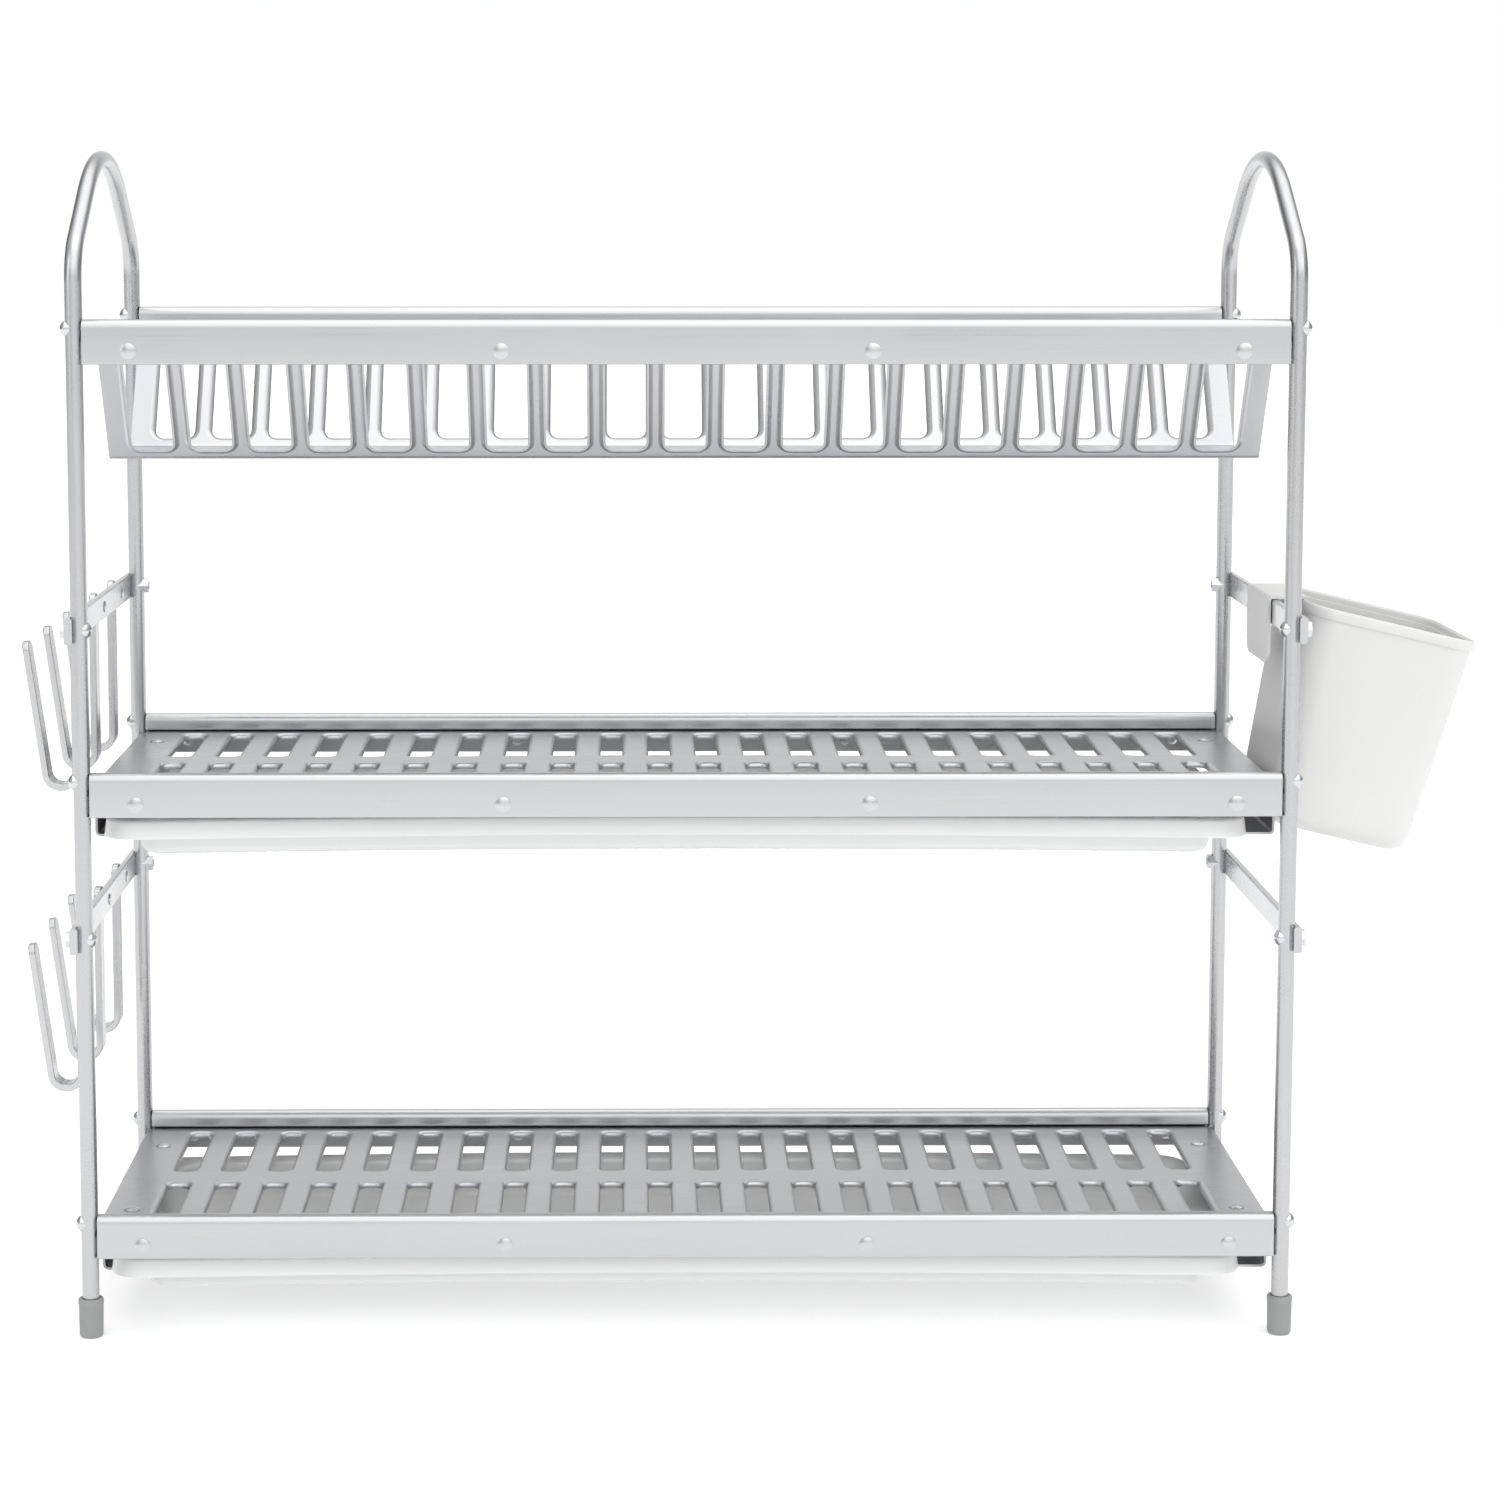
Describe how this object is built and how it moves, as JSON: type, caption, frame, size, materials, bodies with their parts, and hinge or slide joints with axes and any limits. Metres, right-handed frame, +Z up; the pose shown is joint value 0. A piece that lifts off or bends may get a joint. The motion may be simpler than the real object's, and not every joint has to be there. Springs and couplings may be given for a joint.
{
  "type": "dish drying rack",
  "caption": "Free-standing tiered aluminium dish drying rack with a slotted plate trough, slotted shelves, slide-out drip trays, mug hooks and a hung cutlery cup.",
  "frame": {"origin": "on the floor, midway between the four feet", "axes": "+X to the rack's right, towards the cutlery cup; +Y to its back; +Z up"},
  "size_m": [0.7396, 0.214, 0.5951],
  "materials": {
    "tube": "satin drawn aluminium tube",
    "rail": "satin extruded aluminium",
    "sheet": "mill-finish pressed aluminium sheet",
    "bar": "satin flat aluminium bar",
    "rivet": "set aluminium rivets",
    "steel": "bright zinc-plated steel",
    "foot": "grey soft plastic",
    "tray_plastic": "white moulded polypropylene",
    "cup_plastic": "white moulded polypropylene"
  },
  "bodies": {
    "rack": {"left_side_frame": "tube", "foot_front_left": "foot", "foot_rear_left": "foot", "left_bar_upper": "bar", "left_bar_lower": "bar", "right_side_frame": "tube", "foot_front_right": "foot", "foot_rear_right": "foot", "right_bar_upper": "bar", "right_bar_lower": "bar", "front_rail_bottom": "rail", "rear_rail_bottom": "rail", "front_rail_middle": "rail", "rear_rail_middle": "rail", "front_rail_top": "rail", "rear_rail_top": "rail", "plate_rack": "sheet", "middle_shelf": "sheet", "tray_guide_middle_left": "sheet", "tray_guide_middle_right": "sheet", "bottom_shelf": "sheet", "tray_guide_bottom_left": "sheet", "tray_guide_bottom_right": "sheet", "mug_hook_upper_1": "bar", "mug_hook_upper_2": "bar", "mug_hook_upper_3": "bar", "mug_hook_lower_1": "bar", "mug_hook_lower_2": "bar", "mug_hook_lower_3": "bar", "rail_screws": "steel", "rail_rivets": "rivet", "shelf_rivets": "rivet", "bar_bolts": "steel", "bar_nuts": "steel", "hook_rivets": "rivet"},
    "middle_tray": {"drip_tray_middle": "tray_plastic"},
    "bottom_tray": {"drip_tray_bottom": "tray_plastic"},
    "cup": {"cutlery_cup": "cup_plastic"}
  },
  "joints": [
    {"name": "middle_tray_slide", "type": "slide", "parent": "rack", "child": "middle_tray", "axis": [0, -1, 0], "range_m": [0, 0.15]},
    {"name": "bottom_tray_slide", "type": "slide", "parent": "rack", "child": "bottom_tray", "axis": [0, -1, 0], "range_m": [0, 0.15]},
    {"name": "cup_lift", "type": "slide", "parent": "rack", "child": "cup", "axis": [0, 0, 1], "range_m": [0, 0.045]}
  ]
}
